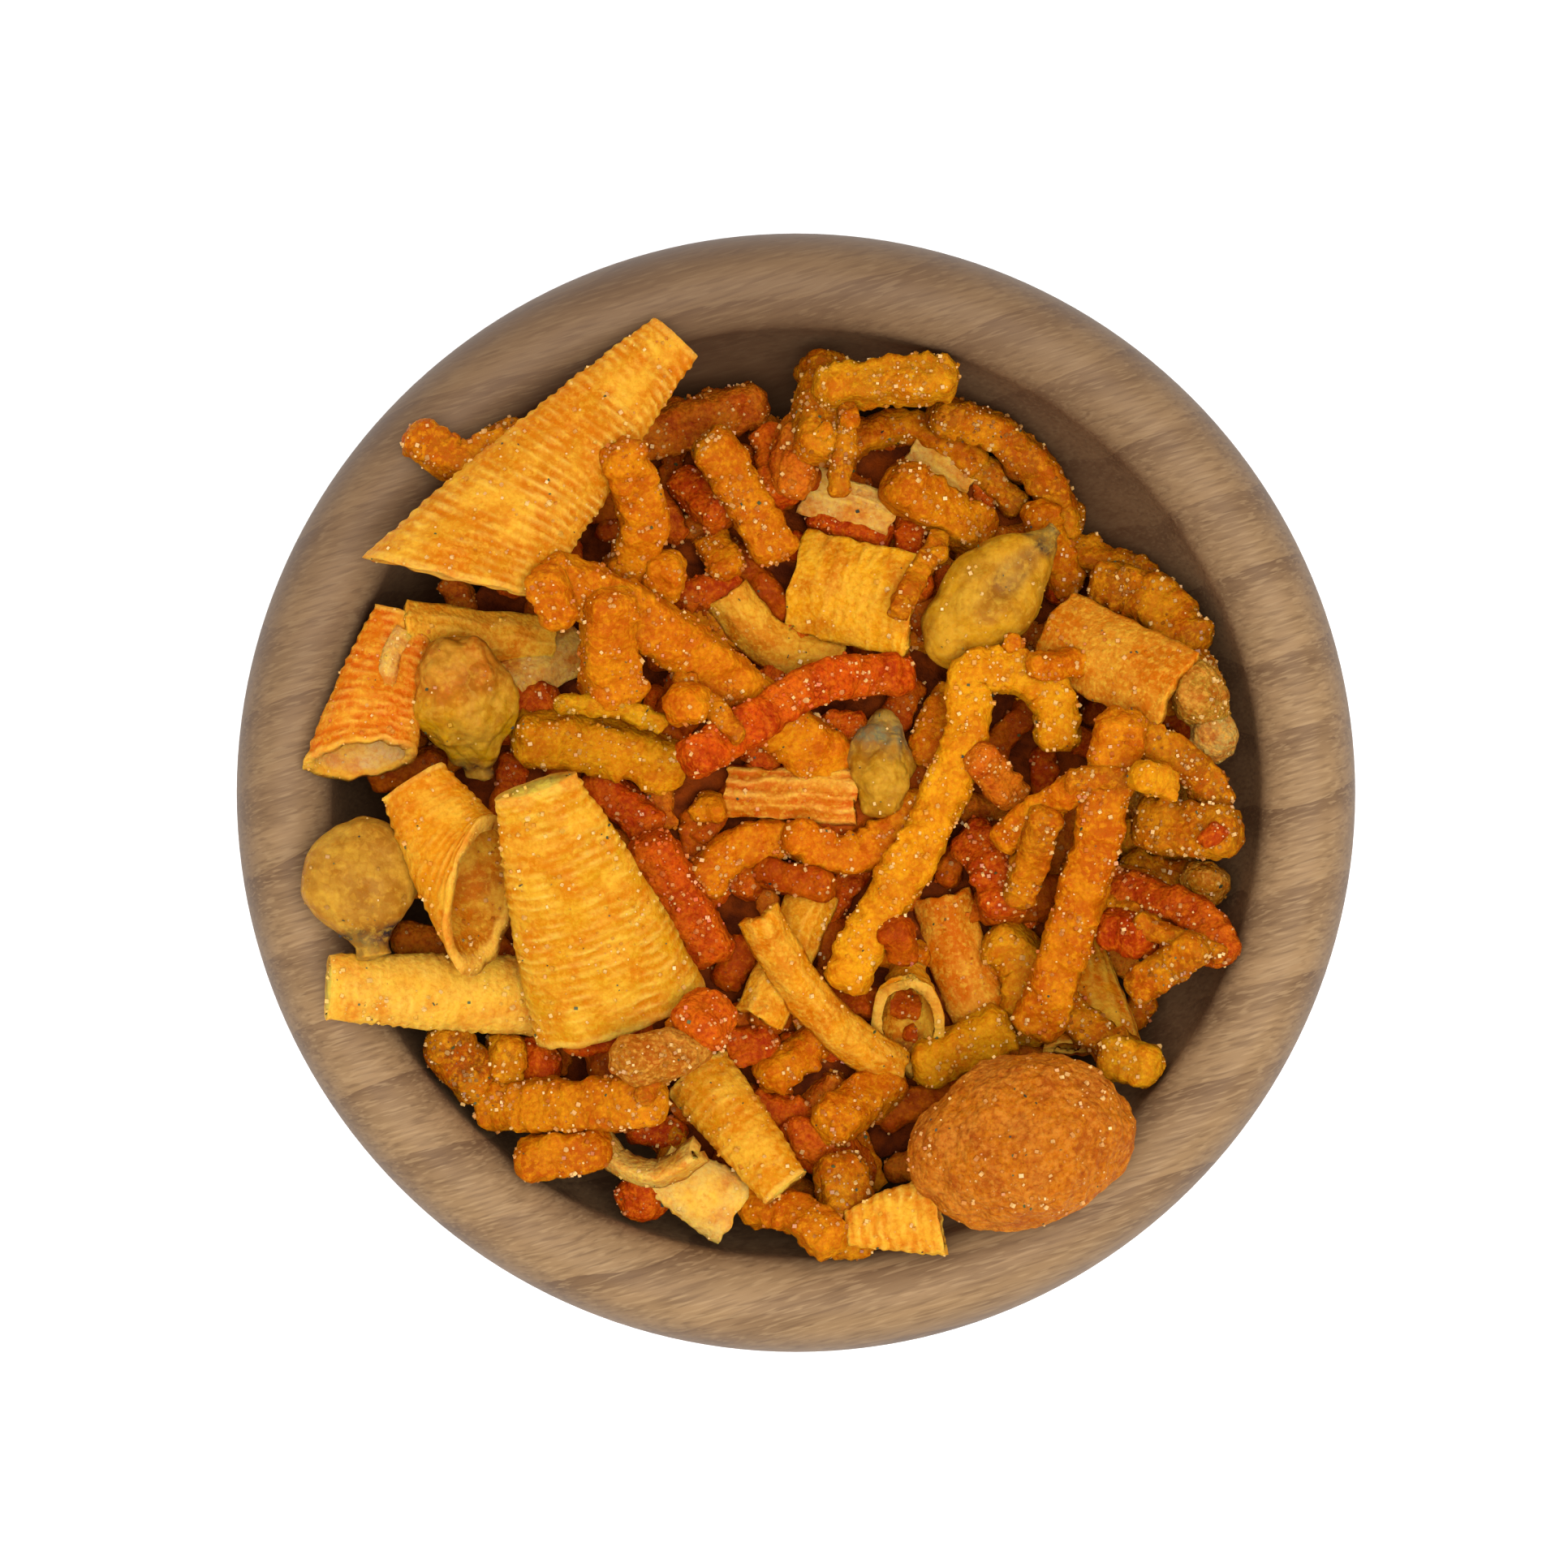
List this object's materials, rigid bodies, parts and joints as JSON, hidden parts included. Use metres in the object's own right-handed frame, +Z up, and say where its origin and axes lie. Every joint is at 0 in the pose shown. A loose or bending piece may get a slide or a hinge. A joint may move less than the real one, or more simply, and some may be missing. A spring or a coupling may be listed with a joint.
{
  "type": "bowl of savoury corn snack mix",
  "caption": "Small turned wooden bowl heaped with a mix of crunchy corn cones, fried sticks, chips, toasted kernels and a coated peanut.",
  "frame": {"origin": "centre of the bowl's foot, on the surface that it stands on", "axes": "+Z up along the bowl's turning axis; +Y towards the top edge of the picture and +X towards its right edge"},
  "size_m": [0.1, 0.1, 0.0588],
  "materials": {
    "wood": "satin",
    "corn_snack": "rough, crumbly and seasoned"
  },
  "bodies": {
    "root": {"bowl": "wood", "snack_mix": "corn_snack"}
  },
  "joints": []
}
